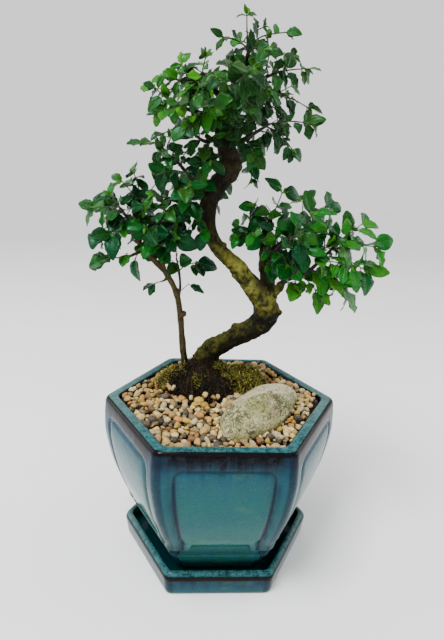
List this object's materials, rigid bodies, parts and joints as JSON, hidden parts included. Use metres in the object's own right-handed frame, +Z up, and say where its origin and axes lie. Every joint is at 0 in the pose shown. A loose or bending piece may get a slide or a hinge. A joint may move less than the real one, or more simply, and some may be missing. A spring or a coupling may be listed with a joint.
{
  "type": "potted bonsai tree",
  "caption": "Small privet bonsai with a zigzag trunk and leafy branches, in a glazed hexagonal pot that stands in its matching saucer.",
  "frame": {"origin": "centre of the saucer's flat underside, on the pot's upright axis", "axes": "+Z up; one face of the hexagonal pot looks along -Y, and two of its corners point along +X and -X"},
  "size_m": [0.2158, 0.1594, 0.3936],
  "materials": {
    "glaze": "glossy teal and blue reactive glaze, darker brown where it breaks over edges",
    "soil": "dark damp bark compost with old roots",
    "gravel": "small rounded pebbles, cream, tan, orange, grey and brown",
    "stone": "matte pale grey-green stone with fine dark veins",
    "moss": "soft yellow-green moss",
    "bark": "rough brown bark with an olive bloom on the lower trunk",
    "leaf": "glossy dark green leaves, yellow-green when young"
  },
  "bodies": {
    "root": {"saucer": "glaze", "pot": "glaze", "soil": "soil", "gravel": "gravel", "stone": "stone", "moss_left": "moss", "moss_right": "moss", "trunk": "bark", "side_stem": "bark", "leaves_apex": "leaf", "leaves_crown_high_right": "leaf", "leaves_crown_mid_right": "leaf", "leaves_crown_low_right": "leaf", "leaves_crown_high_left": "leaf", "leaves_crown_mid_left": "leaf", "leaves_crown_low_left": "leaf", "leaves_crown_back": "leaf", "leaves_crown_back_left": "leaf", "leaves_crown_front": "leaf", "leaves_burl_back": "leaf", "leaves_mid_left_long": "leaf", "leaves_mid_left_low": "leaf", "leaves_mid_back": "leaf", "leaves_left_top": "leaf", "leaves_left_low_twig": "leaf", "leaves_left_reach": "leaf", "leaves_left_up": "leaf", "leaves_left_fork": "leaf", "leaves_left_shoot": "leaf", "leaves_left_back": "leaf", "leaves_right_top": "leaf", "leaves_right_left": "leaf", "leaves_right_front": "leaf", "leaves_right_back": "leaf", "leaves_right_reach": "leaf"}
  },
  "joints": []
}
